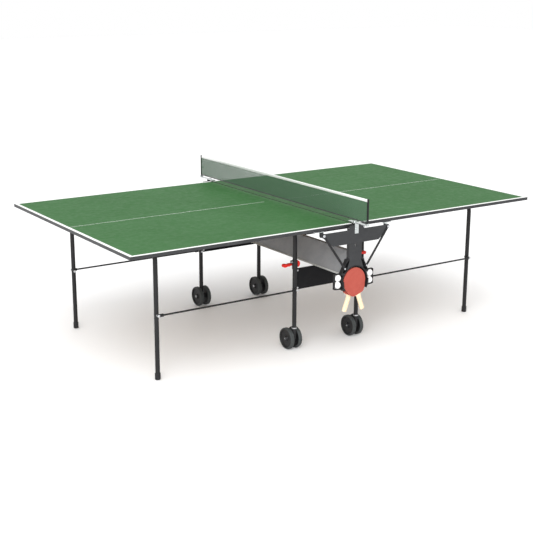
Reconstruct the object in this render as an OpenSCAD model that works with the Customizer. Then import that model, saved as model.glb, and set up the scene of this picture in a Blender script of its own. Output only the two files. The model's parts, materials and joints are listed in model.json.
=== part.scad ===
// Folding indoor table tennis table on twin-wheel legs, with net, bats and balls.
// X runs along the table, Y across it (the near side is -Y), Z up, floor at z = 0.

/* [Table top] */
// Length of the playing surface
table_l = 2740; // [2700:10:2780]
// Width of the playing surface
table_w = 1525; // [1505:5:1545]
// Height of the playing surface above the floor
table_h = 760; // [755:1:765]
// Thickness of each wooden board
board_t = 16; // [12:1:19]
// Gap between the two halves
half_gap = 7; // [6:1:10]
// Height of the steel edge rail
rail_h = 18; // [17:1:20]
// Width of the rail's flange under the board
rail_w = 22; // [16:1:30]

/* [Frames] */
// Outside diameter of the leg tubes
tube_d = 25; // [22:1:28]
// Wall of the leg tubes
tube_t = 1.5; // [1:0.1:2]
// Distance of the outer legs from the table's middle
leg_x = 1110; // [1080:10:1150]
// Distance of the wheel legs from the table's middle
wheel_x = 224; // [220:1:230]
// Distance of all legs from the centre line
leg_y = 525; // [515:1:535]
// Radius of the bends, on the tube's axis
bend_r = 70; // [50:5:90]

/* [Fold] */
// Height of the crossbars and of the fold axes
fold_z = 722; // [720:1:723]
// Height of the link rods' pins
rod_z = 360; // [350:1:380]
// Diameter of the link rods
rod_d = 10; // [8:1:12]

/* [Wheels] */
// Diameter of the wheels
wheel_d = 125; // [120:1:130]
// Width of one wheel
wheel_w = 24; // [20:1:26]
// Gap between the two wheels of a pair
wheel_gap = 30; // [28:1:34]
// How far a swivelling pair trails behind its leg
trail = 33; // [28:1:38]

/* [Net] */
// Half the width of the net, over its posts
net_y = 887; // [870:1:900]
// Height of the net's top above the playing surface
net_h = 155; // [152:1:160]
// Height of the net's lower edge above the playing surface
net_gap = 22; // [18:1:26]

/* [Bats and balls] */
// Radius of a bat's blade
bat_r = 76; // [74:1:78]
// Lean of each bat in the holder
bat_tilt = 20; // [16:1:22]
// Diameter of a ball
ball_d = 40; // [38:1:40]

/* [Hidden] */
$fn = 64;

// Clearances: a shaft in its bore, and a pin of the linkage's open joint
run = 0.06;
loose = 0.4;
tube_r = tube_d / 2;
wheel_r = wheel_d / 2;
board_z = table_h - board_t;
rail_z = table_h - rail_h;
rail_t = 1.5;
half_l = (table_l - half_gap) / 2;
saddle_y = 300;
// Link rods run outside the legs
rod_y = leg_y + 23;
eye_t = 4;
pin_r = 4;
axle_r = 4;
hinge_r = 5;
// Bottom ends of the tubes above the swivelling and the fixed wheels
swivel_tube_z = wheel_d + 9;
fixed_tube_z = 44;
foot_tube_z = 8;
// Centre support, named by the distance of its layers from the centre line
edge_y = table_w / 2;
column_y0 = edge_y + 2.5;
column_y1 = column_y0 + 24;
plate_y1 = column_y1 + 3;
brace_y1 = plate_y1 + 3;
column_w = 88;
// Bat nest and ball cages
nest_z = 437;
nest_r = 84;
nest_wall = 6;
nest_cut_z = 417;
back_cut_z = 397;
ball_x = 112;
ball_z = [466.5, 425.5];
ball_y = column_y0 + 8.5;
cage_x = 136;
cage_y = 17;
// Lower ends of the braces, on the holder
brace_x = 76;
brace_z = 518;
// Side and cross panels
panel_z0 = 356;
panel_z1 = 478;
cross_z1 = 602;
cross_half = 72;
lever_z = 505;
bolt_z = [366, 468];

// ---- helpers ----------------------------------------------------------------

// Draws a near-side shape on the near side (s = -1) or mirrors it to the far side
module side(s) {
    if (s < 0) children();
    else mirror([0, 1, 0]) children();
}

// Draws a left-half shape on the left (h = -1) or mirrors it to the right
module half(h) {
    if (h < 0) children();
    else mirror([1, 0, 0]) children();
}

// Outline in X and Z, from y outwards (towards -Y) by t
module plate_xz(y, t) {
    translate([0, -y, 0]) rotate([90, 0, 0]) linear_extrude(t) children();
}

// Cylinder along Y, from y0 to y1 outwards on the near side
module pin_y(x, z, r, y0, y1) {
    translate([x, -y0, z]) rotate([90, 0, 0]) cylinder(h = y1 - y0, r = r);
}

// Cylinder along X
module pin_x(x0, x1, y, z, r) {
    translate([x0, y, z]) rotate([0, 90, 0]) cylinder(h = x1 - x0, r = r);
}

// Box given by two corners
module box(low, high) {
    translate(low) cube(high - low);
}

// Rectangle with round corners, its corner at the origin
module rounded_rect(w, h, r) {
    translate([r, 0]) square([w - 2 * r, h]);
    translate([0, r]) square([w, h - 2 * r]);
    for (x = [r, w - r], y = [r, h - r]) translate([x, y]) circle(r);
}

// Flat bar from point a to point b, with round ends that may be wider lugs
module bar(a, b, w, lug = 0) {
    run_v = b - a;
    translate(a) rotate(atan2(run_v[1], run_v[0])) translate([0, -w / 2]) square([norm(run_v), w]);
    translate(a) circle(max(w / 2, lug));
    translate(b) circle(max(w / 2, lug));
}

// Cross-section of a leg tube
module ring() {
    difference() {
        circle(tube_r);
        circle(tube_r - tube_t);
    }
}

// One leg with its bend, on the near side, its foot end at z0
module bent_leg(z0) {
    translate([0, -leg_y, z0]) linear_extrude(fold_z - bend_r - z0) ring();
    mirror([0, 1, 0]) translate([0, leg_y - bend_r, fold_z - bend_r]) rotate([90, 0, 90])
        rotate_extrude(angle = 90) translate([bend_r, 0]) ring();
}

// Tube frame bent to a U: two legs and the crossbar that is the fold's shaft
module u_frame(near_z, far_z) {
    span = leg_y - bend_r;
    bent_leg(near_z);
    mirror([0, 1, 0]) bent_leg(far_z);
    translate([0, -span, fold_z]) rotate([-90, 0, 0]) linear_extrude(2 * span) ring();
}

// Holes through both legs for the link rods' pins
module pin_holes(r) {
    for (s = [-1, 1]) side(s) pin_y(0, rod_z, r, leg_y - 20, leg_y + 20);
}

// Bolt through a leg that carries a link rod's eye: shank, collar, head and nut
module link_pin(x) {
    pin_y(x, rod_z, pin_r, leg_y - 18, rod_y + 5);
    pin_y(x, rod_z, 8, leg_y + tube_r + 0.2, rod_y - eye_t / 2 - 0.3);
    pin_y(x, rod_z, 7.5, rod_y + eye_t / 2 + 0.5, rod_y + 6);
    pin_y(x, rod_z, 7, leg_y - 18, leg_y - tube_r - 0.2);
}

// Small bolt along Y through a panel, with its head on the near side
module panel_bolt(x, z, y0, y1) {
    pin_y(x, z, 3, y0, y1);
    pin_y(x, z, 5.5, y1, y1 + 3);
    pin_y(x, z, 5.5, y0 - 3, y0);
}

// ---- undercarriage ----------------------------------------------------------

module wheel_frame(h) {
    color([0.10, 0.10, 0.11]) half(h) translate([-wheel_x, 0, 0]) difference() {
        u_frame(swivel_tube_z, fixed_tube_z);
        pin_holes(pin_r + 0.05);
        pin_x(-20, 20, leg_y, wheel_r, axle_r + 0.05);
    }
}

// Sheet between the two wheel legs of one side
module side_panel(s) {
    end_x = wheel_x - tube_r - 0.2;
    color([0.07, 0.07, 0.08]) side(s) difference() {
        union() {
            box([-end_x, -leg_y - 1, panel_z0], [end_x, -leg_y + 1, panel_z1]);
            box([-end_x, -leg_y - 1, panel_z0], [end_x, -leg_y + 12, panel_z0 + 2]);
            box([-end_x, -leg_y - 1, panel_z1 - 2], [end_x, -leg_y + 12, panel_z1]);
        }
        for (x = [-205, 205], z = bolt_z) pin_y(x, z, 3.05, leg_y - 2, leg_y + 2);
    }
}

// Folded sheet that stands on both side panels and ties the two centre supports
module cross_panel() {
    top = 12;
    t = 2;
    lip = 12;
    color([0.40, 0.41, 0.43])
        plate_xz(-column_y0, 2 * column_y0) {
            polygon([
                [-top, cross_z1], [top, cross_z1],
                [cross_half, panel_z1 + t], [cross_half + lip, panel_z1 + t],
                [cross_half + lip, panel_z1], [cross_half - t, panel_z1],
                [top - t, cross_z1 - t], [-top + t, cross_z1 - t],
                [-cross_half + t, panel_z1], [-cross_half - lip, panel_z1],
                [-cross_half - lip, panel_z1 + t], [-cross_half, panel_z1 + t]]);
        }
}

// Sign plates of the centre supports, with the fold bolts in their two ends
module t_plates() {
    neck = 48;
    arm_z = 733;
    color([0.20, 0.20, 0.21]) for (s = [-1, 1]) side(s) difference() {
        plate_xz(column_y1, plate_y1 - column_y1) {
            difference() {
                polygon([
                    [-wheel_x, arm_z], [-neck - 14, arm_z], [-neck, arm_z + 14], [-neck, 757],
                    [neck, 757], [neck, arm_z + 14], [neck + 14, arm_z], [wheel_x, arm_z],
                    [wheel_x + 8, 714], [160, 655], [-160, 655], [-wheel_x - 8, 714]]);
                for (m = [-1, 1]) translate([m * (neck + 14), arm_z + 14]) circle(14);
            }
            for (m = [-1, 1]) translate([m * wheel_x, fold_z]) circle(13);
        }
        for (m = [-1, 1]) pin_y(m * wheel_x, fold_z, hinge_r + 0.05, column_y1 - 1, plate_y1 + 1);
        pin_y(0, 735, 3.05, column_y1 - 1, plate_y1 + 1);
    }
}

// Channel that hangs from each sign plate down to the bat holder
module columns() {
    wall = 2;
    low = 566;
    color([0.13, 0.13, 0.14]) for (s = [-1, 1]) side(s) difference() {
        box([-column_w / 2, -column_y1, low], [column_w / 2, -column_y0, 740]);
        box([-column_w / 2 + wall, -column_y1 + wall, low - 1],
            [column_w / 2 - wall, -column_y0 + 1, 741]);
        pin_y(0, 735, 3.05, column_y0, column_y1 + 1);
        plate_xz(column_y1 - 4, 6) bar([0, 636], [0, 652], 6);
    }
}

// Flat bars from the fold bolts down to the bat holder
module braces() {
    color([0.08, 0.08, 0.09]) for (s = [-1, 1], m = [-1, 1]) side(s) difference() {
        plate_xz(plate_y1, 3) bar([m * wheel_x, fold_z], [m * brace_x, brace_z], 13, 8);
        pin_y(m * wheel_x, fold_z, hinge_r + 0.05, plate_y1 - 1, brace_y1 + 1);
        pin_y(m * brace_x, brace_z, 2.55, plate_y1 - 1, brace_y1 + 1);
    }
}

// Outline of the holder's shoulders and of the ring round the bats
module holder_outline(cut_z) {
    difference() {
        union() {
            polygon([[-column_w / 2, 602], [column_w / 2, 602], [66, 545], [95, 489], [92, 480],
                     [-92, 480], [-95, 489], [-66, 545]]);
            translate([0, nest_z]) circle(nest_r + nest_wall);
        }
        translate([-200, cut_z - 200]) square([400, 200]);
    }
}

// Open cage beside the ring for two balls: outer wall, top arm and lower gusset
module ball_cage() {
    low = ball_z[1] - 23;
    high = ball_z[0] + 23;
    front = column_y0 + cage_y;
    box([-cage_x, -front, low], [-cage_x + 3, -column_y0, high]);
    box([-cage_x, -front, high - 2.5], [-90, -column_y0, high]);
    plate_xz(column_y0, cage_y)
        polygon([[-cage_x, low - 0.5], [-cage_x, low + 2.5], [-84, low + 2.5], [-82, 401], [-86, 397]]);
}

// Moulded holder: back plate, shoulders with pockets, ring, two fingers, two cages
module holder(s) {
    depth = column_y1 - column_y0;
    neck_z = 566;
    color([0.09, 0.09, 0.10]) side(s) difference() {
        union() {
            plate_xz(column_y0, depth) difference() {
                holder_outline(nest_cut_z);
                translate([0, nest_z]) circle(nest_r);
            }
            plate_xz(column_y0, 3) holder_outline(back_cut_z);
            plate_xz(column_y1 - 0.01, 10) difference() {
                translate([0, nest_z]) circle(nest_r + nest_wall);
                translate([0, nest_z]) circle(nest_r - 1);
                translate([-200, nest_cut_z + 27]) square([400, 200]);
                translate([-200, nest_cut_z - 200]) square([400, 200]);
            }
            for (m = [-1, 1]) pin_y(m * brace_x, brace_z, 9, column_y1 - 1, plate_y1);
            for (m = [-1, 1]) half(m) ball_cage();
        }
        // The neck fits inside the channel above it
        for (m = [-1, 1]) half(m)
            box([-60, -column_y1 - 1, neck_z], [-column_w / 2 + 2.2, -column_y0 + 1, 603]);
        box([-60, -column_y1 - 1, neck_z], [60, -column_y1 + 2.2, 603]);
        // Pockets in the shoulders
        for (m = [-1, 1]) half(m) plate_xz(column_y0 + 6, depth) difference() {
            polygon([[-38, 540], [-44, 562], [-62, 545], [-89, 492], [-70, 490], [-56, 505]]);
            translate([0, nest_z]) circle(nest_r + nest_wall);
            translate([-brace_x, brace_z]) circle(9);
        }
        for (m = [-1, 1]) pin_y(m * brace_x, brace_z, 2.55, column_y0 + 8, brace_y1);
    }
}

// Bolts of the fold, and the screws that hold the braces' lower ends
module hinge_pins() {
    color([0.72, 0.72, 0.74]) for (s = [-1, 1], m = [-1, 1]) side(s) {
        pin_y(m * wheel_x, fold_z, hinge_r, edge_y + 4, brace_y1 + 1);
        pin_y(m * wheel_x, fold_z, 8, brace_y1, brace_y1 + 4);
        pin_y(m * brace_x, brace_z, 2.5, column_y0 + 9, brace_y1 + 1);
        pin_y(m * brace_x, brace_z, 5, brace_y1, brace_y1 + 3);
    }
}

// Bushes that keep each hinge ear off the sign plate
module hinge_spacers() {
    color([0.08, 0.08, 0.09]) for (s = [-1, 1], m = [-1, 1]) side(s) difference() {
        pin_y(m * wheel_x, fold_z, 10, edge_y + 9.5, column_y1 - 0.05);
        pin_y(m * wheel_x, fold_z, hinge_r + 0.05, edge_y + 8, column_y1 + 1);
    }
}

module rod_pins() {
    color([0.65, 0.65, 0.67]) for (s = [-1, 1], m = [-1, 1]) side(s) link_pin(m * wheel_x);
}

// Bolts of the side panels and of the lever brackets
module panel_bolts() {
    color([0.65, 0.65, 0.67]) {
        for (s = [-1, 1], x = [-205, 205], z = bolt_z) side(s)
            panel_bolt(x, z, leg_y - 1, leg_y + 1);
        for (m = [-1, 1]) panel_bolt(m * (wheel_x + 21.8), 523, leg_y - 3, leg_y + 3);
    }
}

// ---- net --------------------------------------------------------------------

// Chromed arm on each centre support, with its strap down the sign plate
module net_arms() {
    arm_z = table_h + 9;
    color([0.75, 0.76, 0.77]) for (s = [-1, 1]) side(s) {
        difference() {
            union() {
                box([-13, -net_y + 6, arm_z], [13, -edge_y + 34, arm_z + 3]);
                box([-13, -plate_y1 - 3, 710], [13, -plate_y1, arm_z + 3]);
                translate([0, -plate_y1 + 16, arm_z]) cylinder(h = 8, r = 10);
            }
            pin_y(0, 735, 3.05, plate_y1 - 1, plate_y1 + 4);
        }
        pin_y(0, 735, 3, column_y1 - 5, plate_y1 + 4);
        pin_y(0, 735, 6, plate_y1 + 3, plate_y1 + 6);
        box([-9, -net_y - 5, arm_z - 2], [9, -net_y + 6, arm_z + 12]);
    }
}

module net_posts() {
    foot_z = table_h + 21;
    top_z = table_h + net_h;
    color([0.08, 0.08, 0.09]) for (s = [-1, 1]) side(s) {
        box([-4, -net_y - 4, foot_z], [4, -net_y + 4, top_z]);
        translate([0, -net_y, top_z]) cylinder(h = 2, r = 5);
    }
}

module net_mesh() {
    end_y = net_y - 4;
    color([0.16, 0.22, 0.18])
        box([-0.5, -end_y, table_h + net_gap + 6], [0.5, end_y, table_h + net_h - 15]);
}

module net_tape() {
    end_y = net_y - 4;
    color([0.95, 0.95, 0.95])
        box([-1.5, -end_y, table_h + net_h - 15], [1.5, end_y, table_h + net_h]);
}

module net_cord() {
    end_y = net_y - 4;
    color([0.08, 0.08, 0.09])
        box([-1.5, -end_y, table_h + net_gap], [1.5, end_y, table_h + net_gap + 6]);
}

// ---- wheels -----------------------------------------------------------------

// Plug in the lower end of each fixed wheel leg, bored for the axle
module axle_plugs() {
    color([0.08, 0.08, 0.09]) for (m = [-1, 1]) difference() {
        translate([m * wheel_x, leg_y, fixed_tube_z - 6]) {
            cylinder(h = 6, r = tube_r);
            cylinder(h = 48, r = tube_r - tube_t - 0.05);
        }
        pin_x(m * wheel_x - 20, m * wheel_x + 20, leg_y, wheel_r, axle_r + 0.05);
    }
}

// Axle with its two retaining caps
module axle(x, y) {
    reach = wheel_gap / 2 + wheel_w + 0.4;
    pin_x(x - reach, x + reach, y, wheel_r, axle_r);
    pin_x(x - reach - 3, x - reach, y, wheel_r, 7);
    pin_x(x + reach, x + reach + 3, y, wheel_r, 7);
}

module fixed_axles() {
    color([0.6, 0.6, 0.62]) for (m = [-1, 1]) axle(m * wheel_x, leg_y);
}

// Swivelling carrier: stem in the leg tube, collar, body and axle
module caster(h) {
    body_t = wheel_gap - 4;
    color([0.12, 0.12, 0.13]) half(h) {
        translate([-wheel_x, -leg_y, swivel_tube_z - 0.3]) cylinder(h = 60, r = tube_r - tube_t - 0.05);
        translate([-wheel_x, -leg_y, wheel_d + 1]) cylinder(h = 7.7, r = tube_r + 2);
        translate([-wheel_x, -leg_y, wheel_r]) cylinder(h = wheel_r + 1, r = body_t / 2);
        translate([-wheel_x - body_t / 2, -leg_y, 0]) rotate([90, 0, 90]) linear_extrude(body_t) {
            translate([trail, wheel_r]) circle(17);
            polygon([[0, 50], [trail, wheel_r - 17], [trail + 16, wheel_r + 6], [0, 118]]);
        }
        axle(-wheel_x, -leg_y + trail);
    }
}

// Dished wheel with a moulded tread, turning on the axle; f = 1 turns the dish to +X
module wheel(x, y, f) {
    face = wheel_w / 2;
    color([0.09, 0.09, 0.10]) translate([x, y, wheel_r]) rotate([0, 90, 0])
        mirror([0, 0, f < 0 ? 1 : 0]) difference() {
            rotate_extrude() {
                translate([wheel_r - 18, -face]) rounded_rect(18, wheel_w, 5);
                translate([axle_r + run, -face]) square([13, wheel_w]);
                translate([axle_r + run, -5]) square([wheel_r - 14, 9]);
            }
            for (a = [0 : 60 : 300]) rotate(a) translate([31, 0, 1]) cylinder(h = 10, r = 6);
        }
}

// The two wheels of a pair, named a (towards -X) and b (towards +X)
module wheel_of(x_dir, y, which) {
    off = which * (wheel_gap + wheel_w) / 2;
    wheel(x_dir * wheel_x + off, y, which);
}

// ---- release levers ---------------------------------------------------------

module lever_brackets() {
    color([0.07, 0.07, 0.08]) for (m = [-1, 1]) half(m) {
        difference() {
            translate([-wheel_x, -leg_y, panel_z1 + 2]) union() {
                cylinder(h = 52, r = tube_r + 3);
                box([-29, -3, 35], [-12, 3, 52]);
            }
            translate([-wheel_x, -leg_y, panel_z1]) cylinder(h = 60, r = tube_r + 0.05);
            pin_y(-wheel_x - 21.8, 523, 3.05, leg_y - 4, leg_y + 4);
        }
        pin_y(-wheel_x, lever_z, 4, leg_y - 29, leg_y - 14);
        pin_y(-wheel_x, lever_z, 8, leg_y - 29, leg_y - 26.5);
    }
}

// Red lever behind the leg: plate on its pin, drooping handle, and catch nose
module lever(h) {
    color([0.80, 0.12, 0.10]) half(h) difference() {
        union() {
            plate_xz(leg_y - 26, 6) {
                translate([-wheel_x, lever_z]) circle(12);
                bar([-wheel_x - 30, lever_z - 2], [-wheel_x + 25, lever_z - 2], 16);
            }
            plate_xz(leg_y - 26, 20) {
                bar([-wheel_x - 32, lever_z - 2], [-wheel_x - 56, lever_z - 2], 13);
                bar([-wheel_x - 56, lever_z - 2], [-wheel_x - 63, lever_z - 2], 18, 9.6);
            }
            plate_xz(leg_y - 26, 31) intersection() {
                translate([-wheel_x + 12.5, lever_z + 3]) circle(20.4);
                translate([-wheel_x, lever_z])
                    polygon([[17, 26], [17, 0], [21.6, -20], [40, -20], [40, 26]]);
            }
        }
        pin_y(-wheel_x, lever_z, 4 + run, leg_y - 30, leg_y);
    }
}

// ---- table halves -----------------------------------------------------------

module board(h) {
    color([0.34, 0.55, 0.36]) half(h)
        box([-table_l / 2 + rail_t, -edge_y + rail_t, board_z],
            [-half_gap / 2 - rail_t, edge_y - rail_t, table_h]);
}

// Steel angle along one long edge, from x0 to x1 on the near side
module side_rail(x0, x1) {
    box([x0, -edge_y, rail_z], [x1, -edge_y + rail_t, table_h - 0.5]);
    box([x0, -edge_y + rail_t, rail_z], [x1, -edge_y + rail_w, board_z]);
}

module side_rails(h) {
    color([0.14, 0.14, 0.15]) half(h) for (s = [-1, 1])
        side(s) side_rail(-table_l / 2 + rail_t, -half_gap / 2 - rail_t);
}

module end_rails(h) {
    end_y = edge_y - rail_w;
    color([0.14, 0.14, 0.15]) half(h) {
        for (x = [-table_l / 2, -half_gap / 2 - rail_t])
            box([x, -edge_y, rail_z], [x + rail_t, edge_y, table_h - 0.5]);
        box([-table_l / 2 + rail_t, -end_y, rail_z], [-table_l / 2 + rail_w, end_y, board_z]);
        box([-half_gap / 2 - rail_w, -end_y, rail_z], [-half_gap / 2 - rail_t, end_y, board_z]);
    }
}

// Bearing blocks under the board, round the wheel frame's and leg frame's crossbars
module saddles(h) {
    color([0.10, 0.10, 0.11]) half(h) for (x = [-wheel_x, -leg_x], s = [-1, 1]) side(s)
        translate([x, 0, 0]) difference() {
            union() {
                plate_xz(saddle_y - 18, 36) {
                    translate([0, fold_z]) circle(18);
                    translate([-18, fold_z]) square([36, board_z - fold_z]);
                }
                box([-40, -saddle_y - 18, board_z - 4], [40, -saddle_y + 18, board_z]);
            }
            pin_y(0, fold_z, tube_r + run, saddle_y - 30, saddle_y + 30);
        }
}

// Chromed ear on each long edge that turns on the centre support's bolt
module hinge_brackets(h) {
    ear_y0 = edge_y + 5.5;
    color([0.74, 0.75, 0.76]) half(h) for (s = [-1, 1]) side(s) difference() {
        union() {
            box([-wheel_x - 42, -ear_y0 - 3, rail_z - 3], [-wheel_x + 16, -edge_y + 30, rail_z]);
            plate_xz(ear_y0, 3) {
                translate([-wheel_x, fold_z]) circle(14);
                translate([-wheel_x - 14, fold_z]) square([28, rail_z - fold_z]);
            }
        }
        pin_y(-wheel_x, fold_z, hinge_r + run, ear_y0 - 1, ear_y0 + 4);
    }
}

// Hat-section steel across the middle of the board's underside
module stiffener(h) {
    mid = -(leg_x + wheel_x) / 2;
    reach = 490;
    color([0.12, 0.12, 0.13]) half(h) translate([mid, 0, 0]) plate_xz(-reach, 2 * reach)
        polygon([
            [-30, board_z], [-30, board_z - 2], [-16, board_z - 2], [-14, board_z - 14],
            [14, board_z - 14], [16, board_z - 2], [30, board_z - 2], [30, board_z],
            [15, board_z], [12.5, board_z - 12], [-12.5, board_z - 12], [-15, board_z]]);
}

// ---- outer legs and link rods -----------------------------------------------

module leg_frame(h) {
    color([0.10, 0.10, 0.11]) half(h) translate([-leg_x, 0, 0]) difference() {
        u_frame(foot_tube_z, foot_tube_z);
        pin_holes(pin_r + 0.05);
    }
}

module feet(h) {
    color([0.06, 0.06, 0.07]) half(h) for (s = [-1, 1]) side(s)
        translate([-leg_x, -leg_y, 0]) rotate_extrude() difference() {
            union() {
                square([tube_r - 1, 6]);
                translate([tube_r - 1, 4]) circle(4);
                translate([0, 4]) square([tube_r + 3, 32]);
            }
            translate([0, foot_tube_z]) square([tube_r + 0.05, 40]);
        }
}

module leg_pins(h) {
    color([0.65, 0.65, 0.67]) half(h) for (s = [-1, 1]) side(s) link_pin(-leg_x);
}

// Rods that keep the outer legs parallel to the wheel legs, with flattened eyes
module rods(h) {
    flat = 26;
    color([0.10, 0.10, 0.11]) half(h) for (s = [-1, 1]) side(s) difference() {
        union() {
            pin_x(-leg_x + flat - 6, -wheel_x - flat + 6, -rod_y, rod_z, rod_d / 2);
            plate_xz(rod_y - eye_t / 2, eye_t) {
                bar([-leg_x, rod_z], [-leg_x + flat, rod_z], 17);
                bar([-wheel_x - flat, rod_z], [-wheel_x, rod_z], 17);
            }
        }
        pin_y(-leg_x, rod_z, pin_r + loose, rod_y - 5, rod_y + 5);
        pin_y(-wheel_x, rod_z, pin_r + run, rod_y - 5, rod_y + 5);
    }
}

// ---- bats and balls ---------------------------------------------------------

// Round blade that narrows to a straight edge at the handle, drawn smaller by inset
module blade_outline(inset) {
    circle(bat_r - inset);
    right = [[62 - inset, -46], [57 - inset, -58], [51 - inset, -69], [45 - inset, -77],
             [37.5 - inset, -83 + inset], [29, -86 + inset]];
    left = [for (i = [5 : -1 : 0]) [-right[i][0], right[i][1]]];
    polygon(concat([[62 - inset, -30]], right, left, [[-62 + inset, -30]]));
}

// Bat with its blade's centre over the nest, leaning by a, in layers from y0 outwards
module bat(x, a, y0) {
    wood_t = 6;
    rubber_t = 2;
    handle_t = 20;
    mid_y = y0 + rubber_t + wood_t / 2;
    translate([x, 0, nest_z]) rotate([0, -a, 0]) {
        color([0.80, 0.33, 0.28]) plate_xz(y0, 2 * rubber_t + wood_t) blade_outline(0.5);
        color([0.90, 0.80, 0.62]) {
            plate_xz(y0 + rubber_t, wood_t) {
                blade_outline(0);
                polygon([[-24, -86], [24, -86], [13, -98], [-13, -98]]);
            }
            plate_xz(mid_y - handle_t / 2, handle_t)
                translate([-13, -184]) rounded_rect(26, 90, 5);
        }
    }
}

module ball(m, k) {
    color([0.96, 0.96, 0.96]) translate([m * ball_x, -ball_y, ball_z[k]]) sphere(d = ball_d);
}

// ---- the nodes --------------------------------------------------------------

wheel_frame(-1);  // wheel_frame_left
wheel_frame(1);  // wheel_frame_right
side_panel(-1);  // side_panel_near
side_panel(1);  // side_panel_far
cross_panel();
t_plates();
columns();
braces();
holder(-1);  // holder_near
holder(1);  // holder_far
hinge_pins();
hinge_spacers();
rod_pins();
panel_bolts();
net_arms();
net_posts();
net_mesh();
net_tape();
net_cord();
axle_plugs();
fixed_axles();
lever_brackets();
board(-1);  // left_board
side_rails(-1);  // left_side_rails
end_rails(-1);  // left_end_rails
saddles(-1);  // left_saddles
hinge_brackets(-1);  // left_hinge_brackets
stiffener(-1);  // left_stiffener
board(1);  // right_board
side_rails(1);  // right_side_rails
end_rails(1);  // right_end_rails
saddles(1);  // right_saddles
hinge_brackets(1);  // right_hinge_brackets
stiffener(1);  // right_stiffener
leg_frame(-1);  // left_leg_frame
feet(-1);  // left_feet
leg_pins(-1);  // left_leg_pins
leg_frame(1);  // right_leg_frame
feet(1);  // right_feet
leg_pins(1);  // right_leg_pins
rods(-1);  // left_rods
rods(1);  // right_rods
caster(-1);  // caster_left
caster(1);  // caster_right
wheel_of(-1, -leg_y + trail, -1);  // wheel_near_left_a
wheel_of(-1, -leg_y + trail, 1);  // wheel_near_left_b
wheel_of(1, -leg_y + trail, -1);  // wheel_near_right_a
wheel_of(1, -leg_y + trail, 1);  // wheel_near_right_b
wheel_of(-1, leg_y, -1);  // wheel_far_left_a
wheel_of(-1, leg_y, 1);  // wheel_far_left_b
wheel_of(1, leg_y, -1);  // wheel_far_right_a
wheel_of(1, leg_y, 1);  // wheel_far_right_b
lever(-1);  // lever_left
lever(1);  // lever_right
bat(-2, bat_tilt, column_y0 + 14);  // bat_front
bat(2, -bat_tilt, column_y0 + 3.3);  // bat_back
ball(-1, 0);  // ball_left_upper
ball(-1, 1);  // ball_left_lower
ball(1, 0);  // ball_right_upper
ball(1, 1);  // ball_right_lower
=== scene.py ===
"""Looks of a folding table tennis table: finishes on the frame, and the net, wheels, bats and balls."""

import json
import math

import bmesh
import bpy
from mathutils import Euler, Matrix, Vector

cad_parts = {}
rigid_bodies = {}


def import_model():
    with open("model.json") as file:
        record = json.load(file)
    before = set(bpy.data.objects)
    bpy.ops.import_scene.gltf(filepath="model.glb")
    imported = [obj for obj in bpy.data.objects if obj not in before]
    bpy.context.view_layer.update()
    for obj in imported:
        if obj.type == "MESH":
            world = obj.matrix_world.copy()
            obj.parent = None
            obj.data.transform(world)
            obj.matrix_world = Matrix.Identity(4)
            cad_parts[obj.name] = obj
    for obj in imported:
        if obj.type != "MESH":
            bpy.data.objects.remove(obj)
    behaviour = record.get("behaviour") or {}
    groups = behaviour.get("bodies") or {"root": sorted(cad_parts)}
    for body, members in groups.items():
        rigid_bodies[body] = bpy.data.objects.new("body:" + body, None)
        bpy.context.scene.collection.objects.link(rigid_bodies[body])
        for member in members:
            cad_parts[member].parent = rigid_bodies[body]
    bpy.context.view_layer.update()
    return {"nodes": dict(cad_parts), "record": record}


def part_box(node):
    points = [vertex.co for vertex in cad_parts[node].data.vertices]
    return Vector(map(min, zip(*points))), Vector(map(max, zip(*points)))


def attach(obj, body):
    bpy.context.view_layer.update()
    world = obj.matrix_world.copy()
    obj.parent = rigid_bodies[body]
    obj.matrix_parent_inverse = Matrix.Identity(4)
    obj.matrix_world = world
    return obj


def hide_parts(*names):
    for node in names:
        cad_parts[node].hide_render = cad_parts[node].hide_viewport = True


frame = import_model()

MM = 0.001


# ---- places that the frame gives --------------------------------------------

def body_of(node):
    """Name of the CAD body that a node belongs to."""
    return frame["nodes"][node].parent.name.removeprefix("body:")


def middle(node):
    """Centre of a CAD node's box at rest."""
    low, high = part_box(node)
    return (low + high) / 2


RAIL_LOW, RAIL_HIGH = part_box("left_end_rails")
TOP_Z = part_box("left_board")[1].z
HALF_LENGTH = -RAIL_LOW.x
HALF_WIDTH = RAIL_HIGH.y
BAT_R = 76 * MM
NEST_Z = 437 * MM


# ---- materials --------------------------------------------------------------

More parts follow.
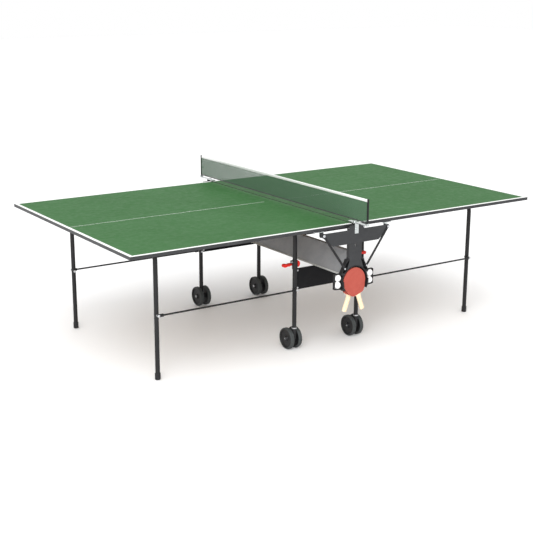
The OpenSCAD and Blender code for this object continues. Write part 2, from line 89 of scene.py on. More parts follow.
class Shader:
    """A material under construction, with short calls for the nodes that these finishes use."""

    def __init__(self, name, rough=0.5, metallic=0.0, coat=0.0, specular=0.5, sheen=0.0):
        self.material = bpy.data.materials.new(name)
        self.material.use_nodes = True
        self.tree = self.material.node_tree
        self.bsdf = self.tree.nodes["Principled BSDF"]
        self.bsdf.inputs["Roughness"].default_value = rough
        self.bsdf.inputs["Metallic"].default_value = metallic
        self.bsdf.inputs["Coat Weight"].default_value = coat
        self.bsdf.inputs["Coat Roughness"].default_value = 0.25
        self.bsdf.inputs["Specular IOR Level"].default_value = specular
        self.bsdf.inputs["Sheen Weight"].default_value = sheen
        self.place = self.tree.nodes.new("ShaderNodeTexCoord").outputs["Object"]

    def node(self, kind, **inputs):
        """A shader node with its inputs set by name; an underscore stands for a space."""
        made = self.tree.nodes.new("ShaderNode" + kind)
        for key, value in inputs.items():
            self.put(made.inputs[key.replace("_", " ")], value)
        return made

    def put(self, socket, value):
        """Links a socket, or sets a value on it."""
        if isinstance(value, bpy.types.NodeSocket):
            self.tree.links.new(value, socket)
        else:
            socket.default_value = value

    def noise(self, scale, detail=3.0, rough=0.6, stretch=None):
        vector = self.place
        if stretch:
            mapping = self.node("Mapping", Vector=self.place, Scale=stretch)
            vector = mapping.outputs[0]
        made = self.node("TexNoise", Vector=vector, Scale=scale, Detail=detail, Roughness=rough)
        return made.outputs[0]

    def ramp(self, value, low, high, to_low=0.0, to_high=1.0):
        """Maps the range low to high onto to_low to to_high."""
        made = self.node("MapRange", Value=value)
        names = ("From Min", "From Max", "To Min", "To Max")
        for key, number in zip(names, (low, high, to_low, to_high)):
            made.inputs[key].default_value = number
        return made.outputs[0]

    def mix(self, factor, a, b):
        """Colour between a and b."""
        made = self.tree.nodes.new("ShaderNodeMix")
        made.data_type = "RGBA"
        self.put(made.inputs["Factor"], factor)
        for socket, value in ((made.inputs[6], a), (made.inputs[7], b)):
            self.put(socket, value if isinstance(value, bpy.types.NodeSocket) else (*value, 1.0))
        return made.outputs[2]

    def math(self, operation, a, b=0.0):
        made = self.tree.nodes.new("ShaderNodeMath")
        made.operation = operation
        self.put(made.inputs[0], a)
        self.put(made.inputs[1], b)
        return made.outputs[0]

    def axes(self):
        """X, Y and Z of the surface in the piece's own frame."""
        return self.node("SeparateXYZ", Vector=self.place).outputs

    def colour(self, value):
        self.put(self.bsdf.inputs["Base Color"], value)

    def roughness(self, value):
        self.put(self.bsdf.inputs["Roughness"], value)

    def bump(self, height, distance, strength=1.0, under=None):
        made = self.node("Bump", Height=height, Distance=distance, Strength=strength)
        if under is not None:
            self.put(made.inputs["Normal"], under)
        self.put(self.bsdf.inputs["Normal"], made.outputs[0])
        return made.outputs[0]


def powder_coat(name, base, worn, rough=0.42, peel=0.00005, specular=0.28):
    """Baked powder coat: orange peel, faint dust and a duller sheen in patches."""
    s = Shader(name, specular=specular)
    patches = s.noise(9.0, 5.0)
    s.colour(s.mix(s.ramp(patches, 0.52, 0.78), base, worn))
    s.roughness(s.ramp(s.noise(60.0), 0.3, 0.7, rough - 0.07, rough + 0.1))
    s.bump(s.noise(850.0, 2.0), peel, 0.5)
    return s.material


def moulded(name, base, worn, rough=0.5, grain=0.00008, scale=1400.0):
    """Moulded plastic with a fine spark-eroded grain and a few rubbed patches."""
    s = Shader(name, specular=0.25)
    s.colour(s.mix(s.ramp(s.noise(22.0, 4.0), 0.5, 0.75), base, worn))
    s.roughness(s.ramp(s.noise(40.0), 0.3, 0.7, rough - 0.08, rough + 0.08))
    s.bump(s.noise(scale, 2.0), grain, 0.6)
    return s.material


def plated(name, base, rough=0.12, streak=None, dull=0.12):
    """Chrome or zinc plate with faint clouding, and drawn streaks where streak is given."""
    s = Shader(name, metallic=1.0)
    clouds = s.noise(70.0, 4.0)
    darker = tuple(0.82 * c for c in base)
    s.colour(s.mix(s.ramp(clouds, 0.35, 0.75), base, darker))
    fine = s.noise(900.0, 3.0, stretch=streak)
    s.roughness(s.ramp(fine, 0.3, 0.7, rough, rough + dull))
    s.bump(fine, 0.00002, 0.3)
    return s.material


def playing_surface(name):
    """Matt green lacquer with white border lines and a centre line that stops short of the net."""
    border, centre, net_clear, paint = 20 * MM, 3 * MM, 85 * MM, 0.4 * MM
    s = Shader(name, specular=0.08)
    x, y, z = s.axes()
    along, across = s.math("ABSOLUTE", x), s.math("ABSOLUTE", y)
    edge_line = s.math("MAXIMUM", s.math("GREATER_THAN", across, HALF_WIDTH - border),
                       s.math("GREATER_THAN", along, HALF_LENGTH - border))
    middle_line = s.math("MULTIPLY", s.math("LESS_THAN", across, centre / 2),
                         s.math("GREATER_THAN", along, net_clear))
    line = s.math("MAXIMUM", edge_line, middle_line)
    green = s.mix(s.ramp(s.noise(3.0, 4.0), 0.3, 0.7), (0.031, 0.118, 0.030), (0.041, 0.138, 0.041))
    speck = s.ramp(s.noise(1500.0, 2.0), 0.35, 0.75)
    green = s.mix(s.math("MULTIPLY", speck, 0.25), green, (0.056, 0.160, 0.056))
    painted = s.mix(line, green, (0.86, 0.87, 0.86))
    chips = s.mix(s.ramp(s.noise(420.0, 3.0), 0.4, 0.6), (0.20, 0.135, 0.075), (0.33, 0.23, 0.13))
    top = s.math("GREATER_THAN", z, TOP_Z - paint)
    s.colour(s.mix(top, chips, painted))
    s.roughness(s.ramp(s.noise(35.0), 0.3, 0.7, 0.46, 0.60))
    rolled = s.bump(s.noise(1100.0, 2.0), 0.00006, 0.5)
    s.bump(line, 0.00008, 0.6, rolled)
    return s.material


def panel_sheet(name):
    """Grey coated steel sheet with a painted highlight along its lower edge, where the bent lip catches the
    light.
    """
    s = Shader(name, specular=0.35)
    lip_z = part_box("cross_panel")[0].z + 3.5 * MM
    z = s.axes()[2]
    mottled = s.mix(s.ramp(s.noise(14.0, 5.0), 0.35, 0.7), (0.208, 0.214, 0.223), (0.258, 0.265, 0.276))
    # Painted highlight: the lowest 3.5 mm of the sheet is painted light grey for the light its bent lip
    # catches.
    painted_lip_highlight = s.math("LESS_THAN", z, lip_z)
    s.colour(s.mix(painted_lip_highlight, mottled, (0.55, 0.57, 0.56)))
    s.roughness(s.ramp(s.noise(80.0), 0.3, 0.7, 0.36, 0.5))
    s.bump(s.noise(900.0, 2.0), 0.00005, 0.5)
    return s.material


def woven(name, base, thread, scale=2600.0, sheen=0.3):
    """Tightly woven tape: crossing threads as colour and relief."""
    s = Shader(name, rough=0.85, specular=0.2, sheen=sheen)
    _, y, z = s.axes()
    warp = s.math("SINE", s.math("MULTIPLY", y, scale))
    weft = s.math("SINE", s.math("MULTIPLY", z, scale))
    weave = s.math("MULTIPLY", warp, weft)
    s.colour(s.mix(s.ramp(weave, -1.0, 1.0), base, thread))
    s.bump(weave, 0.00015, 0.7)
    return s.material


def bat_wood(name):
    """Pale plywood and handle with fine grain along the handle and two inlaid lines."""
    inlay_x, inlay_half, handle_top = 5.2 * MM, 0.55 * MM, -93 * MM
    s = Shader(name, rough=0.5, coat=0.1)
    x, _, z = s.axes()
    grain = s.noise(120.0, 6.0, stretch=(6.0, 6.0, 0.35))
    wood = s.mix(s.ramp(grain, 0.35, 0.68), (0.80, 0.60, 0.37), (0.93, 0.79, 0.58))
    offset = s.math("ABSOLUTE", s.math("SUBTRACT", s.math("ABSOLUTE", x), inlay_x))
    inlay = s.math("MULTIPLY", s.math("LESS_THAN", offset, inlay_half), s.math("LESS_THAN", z, handle_top))
    s.colour(s.mix(inlay, wood, (0.42, 0.13, 0.06)))
    s.roughness(s.ramp(grain, 0.3, 0.7, 0.42, 0.6))
    s.bump(grain, 0.0001, 0.5)
    return s.material


def rubber_sheet(name, base, worn):
    """Smooth grippy rubber: a fine skin over the faint pattern of the pimples beneath it."""
    s = Shader(name, specular=0.35)
    cells = s.node("TexVoronoi", Vector=s.place, Scale=520.0).outputs["Distance"]
    s.colour(s.mix(s.ramp(s.noise(30.0, 4.0), 0.42, 0.75), base, worn))
    s.roughness(s.ramp(s.noise(50.0), 0.3, 0.7, 0.5, 0.66))
    s.bump(cells, 0.00008, 0.5)
    return s.material


def ball_shell(name):
    """Matt white plastic shell with a whisper of shade and a fine texture."""
    s = Shader(name, specular=0.4)
    s.colour(s.mix(s.ramp(s.noise(60.0), 0.4, 0.7), (0.86, 0.86, 0.85), (0.90, 0.90, 0.89)))
    s.roughness(s.ramp(s.noise(180.0), 0.3, 0.7, 0.42, 0.55))
    s.bump(s.noise(2400.0, 2.0), 0.00002, 0.4)
    return s.material


def floor_finish(name):
    """Plain pale floor with a barely visible unevenness."""
    s = Shader(name, rough=0.6, specular=0.2)
    s.colour(s.mix(s.ramp(s.noise(2.0), 0.3, 0.7), (0.94, 0.94, 0.94), (0.95, 0.95, 0.95)))
    return s.material


BLACK = powder_coat("black_steel", (0.010, 0.010, 0.011), (0.017, 0.017, 0.018))
SIDE = powder_coat("black_panel", (0.008, 0.008, 0.009), (0.013, 0.013, 0.014), rough=0.5, specular=0.1)
# The rails are the frame's black powder coat painted lighter grey: a painted highlight on their faces.
RAIL_PAINTED_LIGHTER = powder_coat("rail_steel", (0.030, 0.031, 0.033), (0.045, 0.046, 0.048), rough=0.36)
SIGN = powder_coat("sign_steel", (0.030, 0.031, 0.033), (0.040, 0.041, 0.044), rough=0.5)
GREY = panel_sheet("panel_grey")
PLASTIC = moulded("moulded_black", (0.013, 0.013, 0.014), (0.024, 0.024, 0.026))
RED = moulded("red_plastic", (0.62, 0.022, 0.016), (0.70, 0.045, 0.030), rough=0.34, grain=0.00003)
CHROME = plated("chrome", (0.60, 0.63, 0.63), rough=0.14)
ZINC = plated("zinc", (0.60, 0.61, 0.63), rough=0.26, streak=(4.0, 0.4, 4.0), dull=0.18)
GREEN = playing_surface("green_board")
NET = woven("net_weave", (0.044, 0.090, 0.054), (0.078, 0.150, 0.092), scale=5200.0, sheen=0.1)
TAPE = woven("net_band", (0.80, 0.80, 0.79), (0.92, 0.92, 0.91))
EDGE = woven("net_edge", (0.015, 0.016, 0.016), (0.04, 0.042, 0.042))
TYRE = moulded("wheel_tyre", (0.050, 0.055, 0.055), (0.075, 0.082, 0.081), rough=0.62, grain=0.00010,
               scale=900.0)
HUB = moulded("wheel_hub", (0.012, 0.012, 0.013), (0.020, 0.020, 0.022), rough=0.36)
WOOD = bat_wood("bat_wood")
RUBBER = rubber_sheet("bat_rubber", (0.37, 0.062, 0.042), (0.41, 0.078, 0.054))
TRIM = moulded("bat_edge_tape", (0.33, 0.035, 0.025), (0.42, 0.06, 0.045), rough=0.45, grain=0.00003)
SPONGE = moulded("bat_sponge", (0.30, 0.20, 0.12), (0.38, 0.27, 0.16), rough=0.8)
BALL = ball_shell("ball")


# ---- mesh helpers -----------------------------------------------------------

def new_piece(name, mesh, materials, body, sharp=35.0):
    """Links a mesh as a piece of the object that rides on a body."""
    obj = bpy.data.objects.new(name, mesh)
    bpy.context.scene.collection.objects.link(obj)
    for m in materials:
        mesh.materials.append(m)
    mesh.polygons.foreach_set("use_smooth", [True] * len(mesh.polygons))
    mesh.set_sharp_from_angle(angle=math.radians(sharp))
    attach(obj, body)
    return obj


def mesh_of(name, verts, faces, material_of=None):
    """Mesh of vertices and faces, with each face's material number where given."""
    mesh = bpy.data.meshes.new(name)
    mesh.from_pydata([tuple(v) for v in verts], [], faces)
    if material_of:
        mesh.polygons.foreach_set("material_index", material_of)
    mesh.validate()
    mesh.update()
    return mesh


def bevel(obj, width, segments=2, angle=35.0):
    """Rounds the edges that turn by more than an angle, in degrees."""
    made = obj.modifiers.new("edges", "BEVEL")
    made.width = width
    made.segments = segments
    made.limit_method = "ANGLE"
    made.angle_limit = math.radians(angle)
    made.harden_normals = True


def dress(node, material, width):
    """A copy of a CAD node with rounded edges, which stands for it."""
    weld, flat, crease = 0.001 * MM, 0.4, 30.0
    source = frame["nodes"][node].data
    mesh = mesh_of(node + "_dressed", [v.co for v in source.vertices],
                   [tuple(p.vertices) for p in source.polygons])
    work = bmesh.new()
    work.from_mesh(mesh)
    bmesh.ops.remove_doubles(work, verts=work.verts, dist=weld)
    bmesh.ops.dissolve_limit(work, angle_limit=math.radians(flat), verts=work.verts, edges=work.edges)
    bmesh.ops.recalc_face_normals(work, faces=work.faces)
    work.to_mesh(mesh)
    work.free()
    obj = new_piece(node + "_dressed", mesh, [material], body_of(node), sharp=crease)
    bevel(obj, width, 2, crease)
    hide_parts(node)


def lathe(profile, segments=72, axis="X"):
    """Vertices, faces and material numbers of a closed profile of (radius, offset, material)."""
    verts, faces, mats = [], [], []
    count = len(profile)
    for i in range(segments):
        a = 2 * math.pi * i / segments
        for r, h, _ in profile:
            ring = (r * math.cos(a), r * math.sin(a))
            verts.append((h, *ring) if axis == "X" else (*ring, h))
    for i in range(segments):
        for j in range(count):
            a, b = i * count, (i + 1) % segments * count
            k = (j + 1) % count
            faces.append((a + j, a + k, b + k, b + j))
            mats.append(profile[j][2])
    return verts, faces, mats


def arc(cx, cy, r, start, end, steps, mat=0):
    """Points of a profile's round stretch, in degrees."""
    angles = [math.radians(start + (end - start) * i / steps) for i in range(steps + 1)]
    return [(cx + r * math.cos(a), cy + r * math.sin(a), mat) for a in angles]


def slab(outline, w0, w1):
    """A flat outline in X and Z, between two depths along Y."""
    n = len(outline)
    verts = [(u, w0, v) for u, v in outline] + [(u, w1, v) for u, v in outline]
    faces = [tuple(range(n)), tuple(range(2 * n - 1, n - 1, -1))]
    faces += [(i, n + i, n + (i + 1) % n, (i + 1) % n) for i in range(n)]
    return verts, faces


def add_part(verts, faces, mats, part, mat):
    """Adds a part's vertices and faces to the lists of a larger mesh."""
    base = len(verts)
    verts.extend(part[0])
    faces.extend(tuple(base + i for i in f) for f in part[1])
    mats.extend([mat] * len(part[1]))


def outward(mesh):
    """Turns every face of a closed mesh outwards."""
    work = bmesh.new()
    work.from_mesh(mesh)
    bmesh.ops.recalc_face_normals(work, faces=work.faces)
    work.to_mesh(mesh)
    work.free()
    return mesh


# ---- wheels -----------------------------------------------------------------

def wheel_profile(radius, half, outside):
    """Section of a wheel with tread, shoulders, dished web and boss; outside is the dished side."""
    shoulder, boss, bore, groove_pitch = 5 * MM, 15 * MM, 4.06 * MM, 5 * MM
    rim = radius - 9 * MM
    web_out, web_in = outside * 4 * MM, -outside * 5 * MM
    tread = [(radius, -half + shoulder, 0)]
    for k in (-1, 0, 1):
        groove = k * groove_pitch
        tread += [(radius, groove - 0.9 * MM, 0), (radius - 0.9 * MM, groove - 0.5 * MM, 0),
                  (radius - 0.9 * MM, groove + 0.5 * MM, 0), (radius, groove + 0.9 * MM, 0)]
    shell = arc(radius - shoulder, half - shoulder, shoulder, 0, 90, 5)
    top = [(rim + 2.5 * MM, half, 0), (rim + 1.8 * MM, half - 1.2 * MM, 1), (rim, half - 1.4 * MM, 1)]
    web_top = web_out if outside > 0 else web_in
    web_low = web_in if outside > 0 else web_out
    inner_top = [(rim - 3 * MM, web_top, 1), (boss + 3 * MM, web_top, 1), (boss, half - 2.5 * MM, 1),
                 (boss - 1.5 * MM, half - 0.2 * MM, 1), (bore, half - 0.2 * MM, 1)]
    inner_low = [(bore, -half + 0.2 * MM, 1), (boss - 1.5 * MM, -half + 0.2 * MM, 1),
                 (boss, -half + 2.5 * MM, 1), (boss + 3 * MM, web_low, 1), (rim - 3 * MM, web_low, 1)]
    bottom = [(rim, -half + 1.4 * MM, 1), (rim + 1.8 * MM, -half + 1.2 * MM, 0), (rim + 2.5 * MM, -half, 0)]
    lower = arc(radius - shoulder, -half + shoulder, shoulder, -90, 0, 5)
    return tread + shell + top + inner_top + inner_low + bottom + lower[:-1]


def make_wheel(node):
    """Two-part wheel: a soft tread on a moulded hub, with its dished side away from the leg."""
    low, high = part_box(node)
    half, radius = (high.x - low.x) / 2, (high.z - low.z) / 2
    outside = 1 if node.endswith("_b") else -1
    verts, faces, mats = lathe(wheel_profile(radius, half, outside), 96)
    mesh = outward(mesh_of(node + "_wheel", verts, faces, mats))
    obj = new_piece(node + "_wheel", mesh, [TYRE, HUB], body_of(node))
    obj.location = middle(node)
    bevel(obj, 0.4 * MM, 1, 50.0)
    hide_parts(node)


def make_axle_cap(name, place, side, body):
    """Small domed retaining cap on an axle's end."""
    r = 7.2 * MM
    dome = [(0.4 * MM, 3.6 * MM, 0), (3 * MM, 3.3 * MM, 0), (5.4 * MM, 2.3 * MM, 0), (r, 0.8 * MM, 0),
            (r, -2.9 * MM, 0), (0.4 * MM, -2.9 * MM, 0)]
    verts, faces, mats = lathe([(a, b * side, m) for a, b, m in dome], 40)
    mesh = outward(mesh_of(name, verts, faces, mats))
    obj = new_piece(name, mesh, [ZINC], body)
    obj.location = place


def make_swivel_ring(name, place, body):
    """Plated ring on the carrier where it turns in the leg tube."""
    inner, outer, half = 14.2 * MM, 15.0 * MM, 3.4 * MM
    section = [(outer - 0.6 * MM, -half, 0), (outer, -half + 0.7 * MM, 0), (outer, half - 0.7 * MM, 0),
               (outer - 0.6 * MM, half, 0), (inner, half, 0), (inner, -half, 0)]
    verts, faces, mats = lathe(section, 56, "Z")
    obj = new_piece(name, outward(mesh_of(name, verts, faces, mats)), [ZINC], body)
    obj.location = place


def make_wheels():
    """All eight wheels with their caps, and the rings of the two swivelling pairs."""
    cap_gap, ring_gap = 0.5 * MM, 5.2 * MM
    for end in ("near", "far"):
        for half in ("left", "right"):
            pair = [f"wheel_{end}_{half}_{side}" for side in "ab"]
            for node in pair:
                make_wheel(node)
            body = f"{half}_caster" if end == "near" else "undercarriage"
            for node, side in zip(pair, (-1, 1)):
                low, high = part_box(node)
                place = middle(node)
                place.x = (high.x if side > 0 else low.x) + side * cap_gap
                make_axle_cap("axle_cap_" + node.removeprefix("wheel_"), place, side, body)
    for half in ("left", "right"):
        ring_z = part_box(f"wheel_near_{half}_a")[1].z + ring_gap
        place = Vector((middle(f"wheel_frame_{half}").x, -middle_leg_y(), ring_z))
        make_swivel_ring(f"swivel_ring_{half}", place, f"{half}_caster")


def middle_leg_y():
    """Distance of the legs' axes from the centre line."""
    foot_width = 31 * MM
    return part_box("left_feet")[1].y - foot_width / 2


# ---- net --------------------------------------------------------------------

def make_net():
    """Knotted mesh of crossing cords, held between the tape, the lower band and the posts."""
    low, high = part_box("net_mesh")
    cell, knot_r, tucked_low, tucked_high = 6 * MM, 1.5 * MM, 1 * MM, 2 * MM
    upright, level = (1.4 * MM, 0.7 * MM), (0.7 * MM, 1.1 * MM)
    verts, faces, mats = [], [], []
    columns = round((high.y - low.y) / cell)
    rows = round((high.z - low.z) / cell)
    ys = [low.y + (high.y - low.y) * i / columns for i in range(columns + 1)]
    zs = [low.z + (high.z - low.z) * j / rows for j in range(rows + 1)]
    for y in ys:
        cord = cord_strip(y, low.z - tucked_low, high.z + tucked_high, upright, True)
        add_part(verts, faces, mats, cord, 0)
    for z in zs[1:-1]:
        add_part(verts, faces, mats, cord_strip(z, low.y, high.y, level, False), 0)
    for y in ys[1:-1]:
        for z in zs[1:-1]:
            add_part(verts, faces, mats, knot(y, z, knot_r), 0)
    net = new_piece("net_cords", mesh_of("net_cords", verts, faces, mats), [NET],
                    body_of("net_mesh"))
    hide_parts("net_mesh")
    cords = 2 * len(ys) * (high.z - low.z) * math.hypot(*upright)
    cords += 2 * len(zs[1:-1]) * (high.y - low.y) * math.hypot(*level)


def cord_strip(at, start, end, radii, upright):
    """Four-sided cord along Z (upright) or along Y; radii are across the net and in its plane."""
    deep, wide = radii
    ring = [(deep, 0), (0, wide), (-deep, 0), (0, -wide)]
    if upright:
        verts = [(a, at + b, start) for a, b in ring] + [(a, at + b, end) for a, b in ring]
    else:
        verts = [(a, start, at + b) for a, b in ring] + [(a, end, at + b) for a, b in ring]
    faces = [(i, (i + 1) % 4, 4 + (i + 1) % 4, 4 + i) for i in range(4)]
    return verts, faces + [(3, 2, 1, 0), (4, 5, 6, 7)]


def knot(y, z, r):
    """Small eight-sided knot where two cords cross."""
    verts = [(r, y, z), (-r, y, z), (0, y + r, z), (0, y - r, z), (0, y, z + r), (0, y, z - r)]
    faces = [(0, 2, 4), (2, 1, 4), (1, 3, 4), (3, 0, 4), (2, 0, 5), (1, 2, 5), (3, 1, 5), (0, 3, 5)]
    return verts, faces


def make_band(name, node, material, fold_up):
    """Tape folded over the net's edge, with its fold at the top or at the bottom."""
    low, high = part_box(node)
    half, cloth, steps = 1.45 * MM, 0.4 * MM, 160
    swell, waves = 0.22 * MM, 97.0
    body = high.z - low.z - half
    hem = low.z if fold_up else high.z
    fold = hem + (body if fold_up else -body)
    bend = arc(0, fold, half, 180, 0 if fold_up else 360, 6)
    section = [(-half, hem)] + [(a, b) for a, b, _ in bend] + [(half, hem)]
    verts, faces = [], []
    count = len(section)
    for i in range(steps + 1):
        y = low.y + (high.y - low.y) * i / steps
        ripple = swell * math.sin(y * waves) * math.sin(math.pi * i / steps)
        verts += [(x, y, z + (ripple if z in (low.z, high.z) else 0.0)) for x, z in section]
    for i in range(steps):
        for j in range(count - 1):
            a = i * count + j
            faces.append((a, a + count, a + count + 1, a + 1))
    mesh = outward(mesh_of(name, verts, faces))
    band = new_piece(name, mesh, [material], body_of(node))
    wall = band.modifiers.new("cloth", "SOLIDIFY")
    wall.thickness = cloth
    wall.offset = -1
    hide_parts(node)


def make_stitching():
    """Two rows of thread through the white tape's lower edge."""
    low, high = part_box("net_tape")
    pitch, length, r, off_middle = 5 * MM, 3.4 * MM, 0.22 * MM, 1.62 * MM
    rows = (low.z + 1.6 * MM, high.z - 3.4 * MM)
    verts, faces, mats = [], [], []
    for side in (-1, 1):
        x = side * off_middle
        for i in range(int((high.y - low.y) / pitch)):
            y = low.y + (i + 0.5) * pitch
            for z in rows:
                part = cord_strip(z, y - length / 2, y + length / 2, (r, r), False)
                shifted = [(vx + x, vy, vz) for vx, vy, vz in part[0]]
                add_part(verts, faces, mats, (shifted, part[1]), 0)
    new_piece("net_tape_stitches", mesh_of("net_tape_stitches", verts, faces, mats), [TAPE],
              body_of("net_tape"))


# ---- bats and balls ---------------------------------------------------------

def blade_outline(radius, inset=0.0, neck=False, steps=72):
    """Blade's outline in X and Z: a round head that narrows to a straight edge, or on to the neck."""
    right = [(radius * math.sin(math.pi * i / steps), radius * math.cos(math.pi * i / steps))
             for i in range(steps + 1) if math.cos(math.pi * i / steps) > -0.5]
    right += [(62 * MM - inset, -46 * MM), (57 * MM - inset, -58 * MM), (51 * MM - inset, -69 * MM)]
    right += [(45 * MM - inset, -77 * MM), (37.5 * MM - inset, -83 * MM + inset)]
    right += [(29 * MM, -86 * MM + inset)]
    if neck:
        right += [(23 * MM, -87.5 * MM), (17 * MM, -90 * MM), (13 * MM, -97 * MM)]
    left = [(-u, v) for u, v in reversed(right) if u > 1e-6]
    return right + left


def squared(value, size):
    """A sine or cosine swelled towards the corners of a rounded rectangle."""
    return size * math.copysign(abs(value) ** 0.55, value)


def handle_rings(top, end, thick):
    """Flared handle as rings of points: round-cornered sections from the neck to the butt."""
    verts, faces = [], []
    sides, rings, half_width, butt = 28, 22, 13.0 * MM, 0.965
    for k in range(rings + 1):
        t = k / rings
        v = top + (end - top) * t
        flare = 0.97 + 0.05 * t ** 3 - 0.03 * math.sin(math.pi * t)
        rounding = max(0.0, (t - butt) / (1 - butt))
        close = 0.75 + 0.25 * math.sqrt(max(0.0, 1 - rounding ** 2))
        slope = min(1.0, 0.55 + t * 5.0)
        for i in range(sides):
            a = 2 * math.pi * i / sides
            u = squared(math.cos(a), half_width * flare * close)
            w = squared(math.sin(a), thick / 2 * flare * close * slope)
            verts.append((u, w, v))
    for k in range(rings):
        for i in range(sides):
            j = (i + 1) % sides
            faces.append((k * sides + i, k * sides + j, (k + 1) * sides + j, (k + 1) * sides + i))
    faces.append(tuple(range(sides)))
    faces.append(tuple(reversed(range(rings * sides, (rings + 1) * sides))))
    return verts, faces


def edge_tape(rim, reach):
    """Tape round the blade's edge, open at the neck, as a band of four-sided section."""
    wall, neck_z = 0.3 * MM, -85 * MM
    count = len(rim)
    start = min(range(count), key=lambda i: rim[i][1])
    path = [rim[(start + i) % count] for i in range(count)]
    path = [p for p in path if p[1] > neck_z]
    verts, faces = [], []
    for u, v in path:
        shrink = 1 - wall / math.hypot(u, v)
        verts += [(u, -reach, v), (u, reach, v)]
        verts += [(u * shrink, reach, v * shrink), (u * shrink, -reach, v * shrink)]
    for i in range(len(path) - 1):
        for j in range(4):
            faces.append((4 * i + j, 4 * i + (j + 1) % 4, 4 * i + 4 + (j + 1) % 4, 4 * i + 4 + j))
    last = 4 * (len(path) - 1)
    faces += [(0, 3, 2, 1), (last, last + 1, last + 2, last + 3)]
    return verts, faces


def make_bat(node, x, tilt):
    """A bat: plywood blade, a sponge and a rubber sheet on each face, and a flared handle."""
    verts, faces, mats = [], [], []
    wood, sponge, skin = 3.0 * MM, 0.9 * MM, 1.1 * MM
    sheet_inset, pad_inset, tape = 0.3 * MM, 0.9 * MM, 0.35 * MM
    handle_top, handle_end, handle_thick = -87.4 * MM, -184 * MM, 20 * MM
    head = blade_outline(BAT_R, neck=True)
    sheet = blade_outline(BAT_R - sheet_inset, sheet_inset)
    pad = blade_outline(BAT_R - pad_inset, pad_inset)
    rim = blade_outline(BAT_R + tape, -tape)
    add_part(verts, faces, mats, slab(head, -wood, wood), 0)
    add_part(verts, faces, mats, edge_tape(rim, wood + sponge), 3)
    for s in (-1, 1):
        add_part(verts, faces, mats, slab(pad, s * wood, s * (wood + sponge)), 2)
        add_part(verts, faces, mats, slab(sheet, s * (wood + sponge), s * (wood + sponge + skin)), 1)
    add_part(verts, faces, mats, handle_rings(handle_top, handle_end, handle_thick), 0)
    mesh = outward(mesh_of(node + "_played", verts, faces, mats))
    obj = new_piece(node + "_played", mesh, [WOOD, RUBBER, SPONGE, TRIM], body_of(node), sharp=40.0)
    place = Matrix.Translation((x, middle(node).y, NEST_Z))
    obj.matrix_basis = place @ Euler((0, math.radians(-tilt), 0)).to_matrix().to_4x4()
    bevel(obj, 0.3 * MM, 2, 50.0)
    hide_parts(node)


def make_ball(node):
    """Ball shell with the fine groove where its two halves are welded."""
    low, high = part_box(node)
    r = (high.z - low.z) / 2
    pole, groove, steps = 0.2 * MM, 0.12 * MM, 40
    profile = [(pole, -r, 0)]
    for i in range(1, steps):
        a = math.radians(-90 + 180 * i / steps)
        dip = groove if i == steps // 2 else 0.0
        profile.append(((r - dip) * math.cos(a), (r - dip) * math.sin(a), 0))
    profile.append((pole, r, 0))
    verts, faces, mats = lathe(profile, 56, "Z")
    mesh = outward(mesh_of(node + "_shell", verts, faces, mats))
    obj = new_piece(node + "_shell", mesh, [BALL], body_of(node))
    lean = math.radians(35 if "left" in node else -20)
    turned = Euler((lean, 0.5, 0)).to_matrix().to_4x4()
    obj.matrix_basis = Matrix.Translation(middle(node)) @ turned
    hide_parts(node)


# ---- finishes on the frame --------------------------------------------------

def finish_frame():
    """A finish on every CAD node, and rounded edges (radii in mm) on what is seen close."""
    by_slot = {"black_steel": BLACK, "rail_steel": RAIL_PAINTED_LIGHTER, "sign_steel": SIGN, "panel_grey": GREY,
               "moulded_black": PLASTIC, "chrome": CHROME, "zinc": ZINC, "green_board": GREEN,
               "net_weave": NET, "net_band": TAPE, "net_edge": EDGE, "red_plastic": RED,
               "wheel_black": TYRE, "bat": WOOD, "ball": BALL}
    for part in frame["record"]["subparts"]:
        mesh = frame["nodes"][part["node"]].data
        mesh.materials.clear()
        mesh.materials.append(by_slot[part["material_slot"]])
    rounded = {"t_plates": (SIGN, 0.5), "columns": (SIGN, 0.6), "braces": (BLACK, 0.5),
               "holder_near": (PLASTIC, 0.9), "holder_far": (PLASTIC, 0.9), "net_arms": (CHROME, 0.8),
               "lever_left": (RED, 1.6), "lever_right": (RED, 1.6), "lever_brackets": (PLASTIC, 0.8),
               "left_hinge_brackets": (CHROME, 0.5), "right_hinge_brackets": (CHROME, 0.5),
               "side_panel_near": (SIDE, 0.4), "side_panel_far": (SIDE, 0.4),
               "cross_panel": (GREY, 0.6), "left_saddles": (PLASTIC, 0.8), "right_saddles": (PLASTIC, 0.8),
               "hinge_pins": (ZINC, 0.9), "panel_bolts": (ZINC, 0.6), "rod_pins": (ZINC, 0.8),
               "left_leg_pins": (ZINC, 0.8), "right_leg_pins": (ZINC, 0.8),
               "caster_left": (PLASTIC, 1.0), "caster_right": (PLASTIC, 1.0),
               "net_posts": (BLACK, 0.8), "left_rods": (BLACK, 0.5), "right_rods": (BLACK, 0.5)}
    for node, (material, width) in rounded.items():
        dress(node, material, width * MM)


def make_fan(name, side):
    """Grey plate from a column's foot over the top of the ring; side is -1 on the near side."""
    front, back, ring_r = 789.9 * MM, 788.9 * MM, 90.5 * MM
    right = [(41 * MM, 600 * MM), (41 * MM, 556 * MM), (58 * MM, 507 * MM)]
    angles = [math.radians(38 - 4 * i) for i in range(20)]
    arch = [(ring_r * math.sin(a), NEST_Z + ring_r * math.cos(a)) for a in angles]
    outline = right + arch + [(-u, v) for u, v in reversed(right)]
    verts, faces = slab(outline, side * front, side * back)
    fan = new_piece(name, outward(mesh_of(name, verts, faces)), [SIGN], "undercarriage")
    bevel(fan, 0.4 * MM, 2)


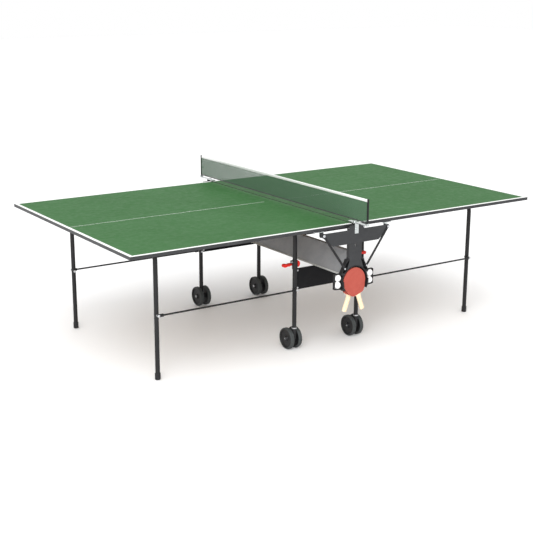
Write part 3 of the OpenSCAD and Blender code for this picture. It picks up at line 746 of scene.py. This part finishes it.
def make_hooks(name, side):
    """Hooks that carry the ring's ends on round the blades; side is -1 on the near side."""
    inner, outer, front, back = 84.4 * MM, 91.5 * MM, 798.6 * MM, 765.4 * MM
    centre, half = 0.5 * (inner + outer), 0.5 * (outer - inner)
    angles = [math.radians(-10 - 3 * i) for i in range(8)]
    c, s = math.cos(angles[-1]), math.sin(angles[-1])
    outline = [(outer * math.cos(a), outer * math.sin(a)) for a in angles]
    for t in [math.radians(30 * k) for k in range(1, 6)]:
        r, d = centre + half * math.cos(t), -half * math.sin(t)
        outline.append((r * c + d * s, r * s + d * c))
    outline += [(inner * math.cos(a), inner * math.sin(a)) for a in reversed(angles)]
    verts, faces, mats = [], [], []
    for m in (-1, 1):
        hook = [(m * u, NEST_Z + v) for u, v in outline]
        add_part(verts, faces, mats, slab(hook, side * front, side * back), 0)
    mesh = outward(mesh_of(name, verts, faces))
    hooks = new_piece(name, mesh, [PLASTIC], "undercarriage")
    bevel(hooks, 0.7 * MM, 2)


# ---- stage ------------------------------------------------------------------

def make_floor():
    """Wide plain floor, a hair below the feet."""
    size, gap = 30.0, 0.2 * MM
    verts = [(-size, -size, 0), (size, -size, 0), (size, size, 0), (-size, size, 0)]
    mesh = mesh_of("floor", verts, [(0, 1, 2, 3)])
    floor = bpy.data.objects.new("floor", mesh)
    bpy.context.scene.collection.objects.link(floor)
    mesh.materials.append(floor_finish("floor"))
    floor.location.z = -gap


def aim(lamp, direction):
    """Links a lamp and turns it so that its light comes from a direction."""
    bpy.context.scene.collection.objects.link(lamp)
    lamp.rotation_mode = "QUATERNION"
    lamp.rotation_quaternion = direction.to_track_quat("Z", "Y")


def soft_light(name, place, target, size, power):
    """Round area light at a place, aimed at a target."""
    data = bpy.data.lights.new(name, "AREA")
    data.shape = "DISK"
    data.size = size
    data.energy = power
    lamp = bpy.data.objects.new(name, data)
    lamp.location = place
    aim(lamp, Vector(place) - Vector(target))


def make_lights():
    """White surroundings, a broad soft sun and a fill light near the camera."""
    sun_angle, sun_strength, sun_from = math.radians(50), 1.3, Vector((-0.55, -0.65, 1.0))
    world = bpy.data.worlds.new("studio")
    bpy.context.scene.world = world
    world.use_nodes = True
    background = world.node_tree.nodes["Background"]
    background.inputs["Color"].default_value = (1.0, 1.0, 1.0, 1.0)
    background.inputs["Strength"].default_value = 1.0
    data = bpy.data.lights.new("key", "SUN")
    data.energy = sun_strength
    data.angle = sun_angle
    aim(bpy.data.objects.new("key", data), sun_from)
    soft_light("fill", (-4.0, -4.5, 2.6), (0.0, 0.0, 0.6), 3.0, 150.0)


def make_camera():
    """Camera at the viewing angle asked for: its place, and its turn, dip and roll in radians."""
    turn, dip, roll = 0.5898, 0.2612, 0.0034
    lens, sensor, place = 73.3, 36.0, (-3.6503, -5.3571, 2.0756)
    forward = Vector((math.sin(turn) * math.cos(dip), math.cos(turn) * math.cos(dip), -math.sin(dip)))
    right = Vector((math.cos(turn), -math.sin(turn), 0.0))
    up = right.cross(forward)
    rolled_right = math.cos(roll) * right + math.sin(roll) * up
    rolled_up = -math.sin(roll) * right + math.cos(roll) * up
    turned = Matrix((rolled_right, rolled_up, -forward)).transposed()
    data = bpy.data.cameras.new("camera")
    data.lens = lens
    data.sensor_width = sensor
    camera = bpy.data.objects.new("camera", data)
    bpy.context.scene.collection.objects.link(camera)
    camera.matrix_world = Matrix.Translation(place) @ turned.to_4x4()
    bpy.context.scene.camera = camera


make_camera()
make_lights()
make_floor()
finish_frame()
make_wheels()
make_band("net_tape_band", "net_tape", TAPE, True)
make_band("net_lower_band", "net_cord", EDGE, False)
make_stitching()
make_net()
make_bat("bat_front", -2 * MM, 20)
make_bat("bat_back", 2 * MM, -20)
make_fan("fan_near", -1)
make_fan("fan_far", 1)
make_hooks("hooks_near", -1)
make_hooks("hooks_far", 1)
for ball_node in ("ball_left_upper", "ball_left_lower", "ball_right_upper", "ball_right_lower"):
    make_ball(ball_node)
bpy.context.scene.view_settings.view_transform = "Standard"
